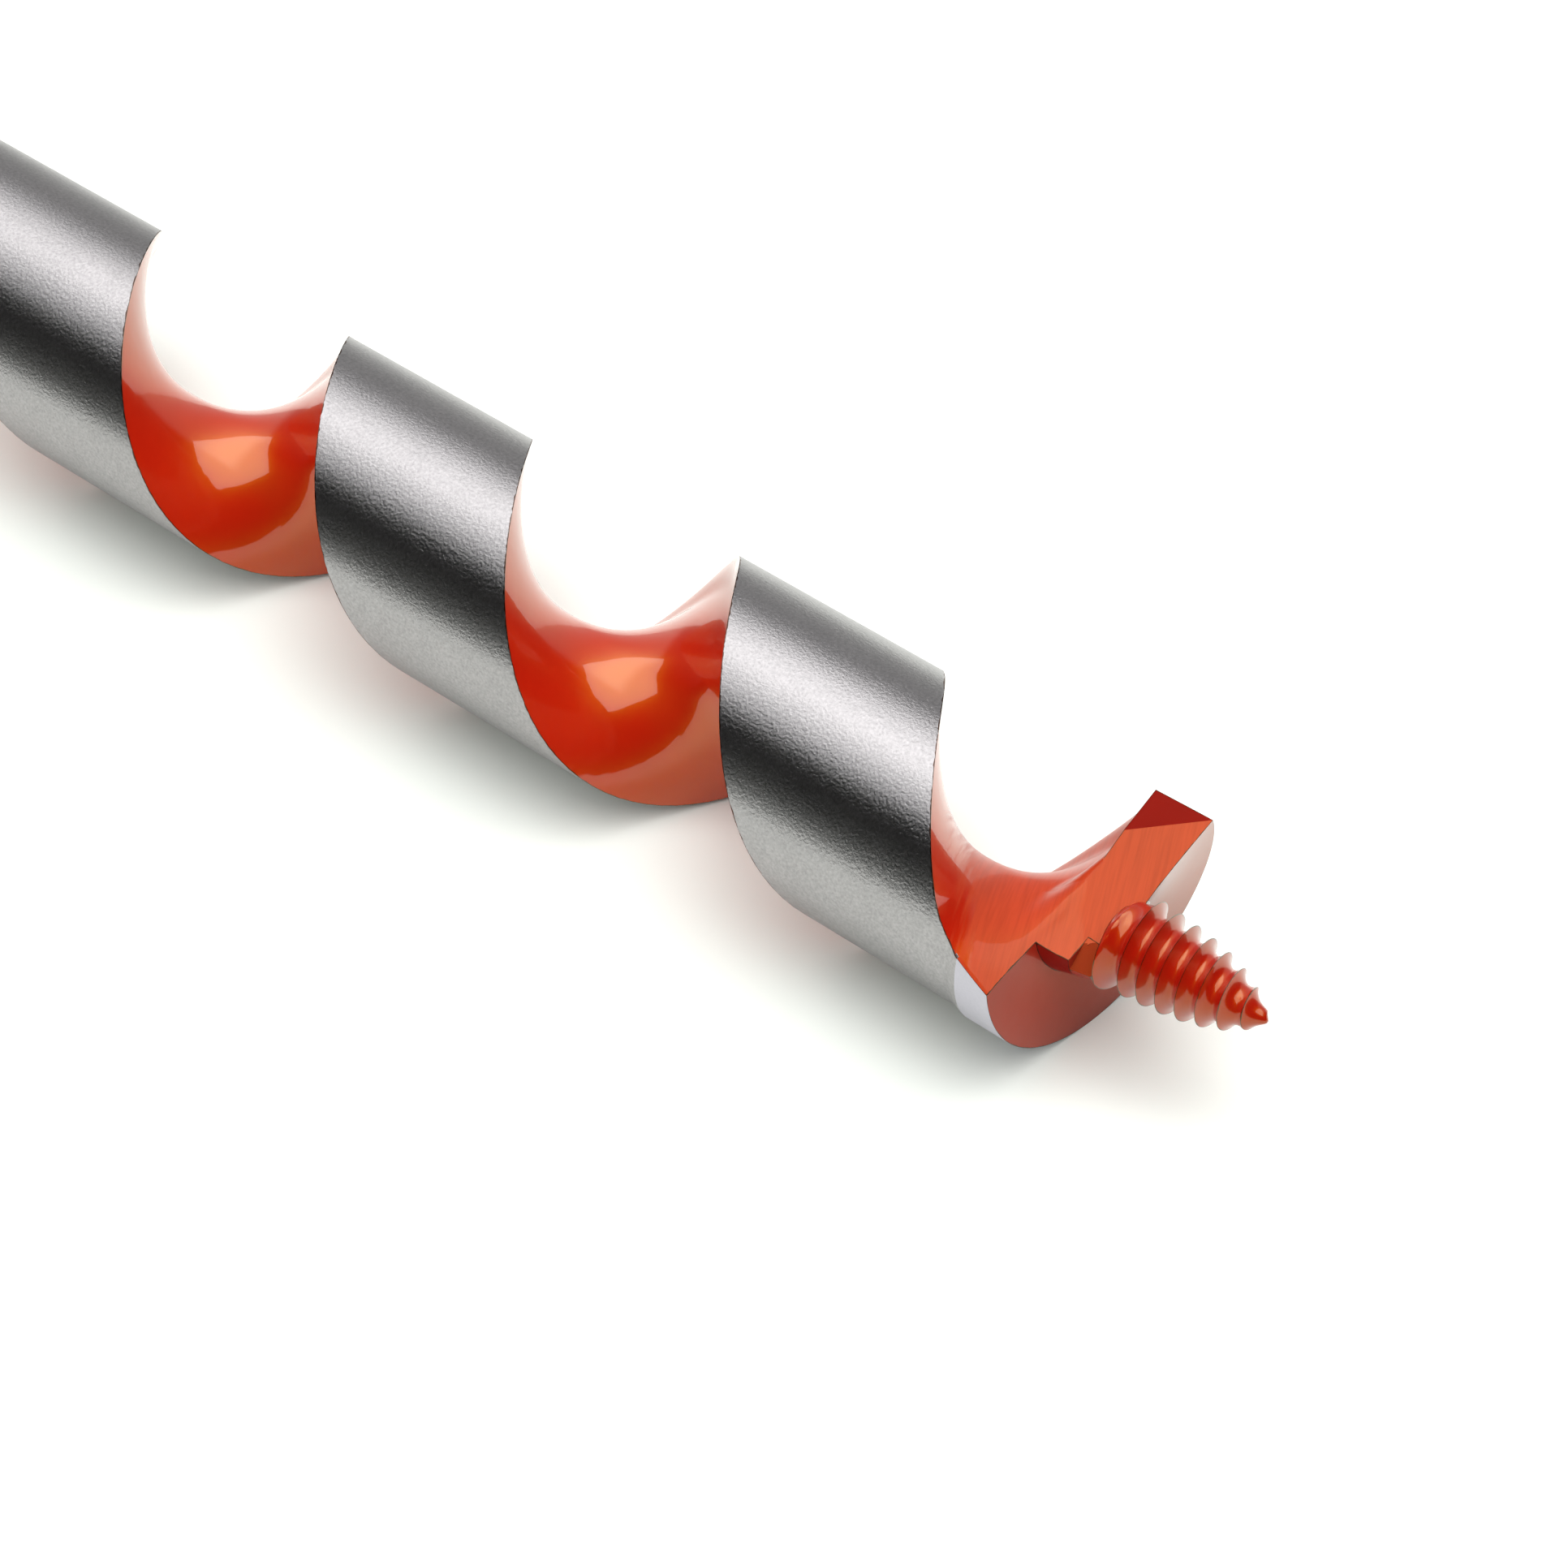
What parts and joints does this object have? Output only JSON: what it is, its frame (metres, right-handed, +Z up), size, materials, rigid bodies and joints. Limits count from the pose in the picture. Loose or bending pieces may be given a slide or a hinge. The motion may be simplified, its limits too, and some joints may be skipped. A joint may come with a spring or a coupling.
{
  "type": "auger bit",
  "caption": "Single-twist wood auger bit with ground steel lands, a red lacquered flute, a cutting head with a tapered lead screw, and a hexagonal shank.",
  "frame": {"origin": "middle of the bit's length, on the floor straight below its axis, as it lies on its side", "axes": "+X along the bit towards the tip of the lead screw; +Z up; the bit's axis is 16 mm above the floor"},
  "size_m": [0.4574, 0.032, 0.0315],
  "materials": {
    "ground_steel": "satin ground, with the flute lacquered red",
    "red_lacquer": "gloss red-orange lacquer, bare ground steel on the land",
    "red_lacquer_screw": "gloss red-orange lacquer",
    "shank_steel": "turned and milled steel"
  },
  "bodies": {
    "root": {"twist_body": "ground_steel", "cutting_head": "red_lacquer", "lead_screw": "red_lacquer_screw", "hex_shank": "shank_steel"}
  },
  "joints": []
}
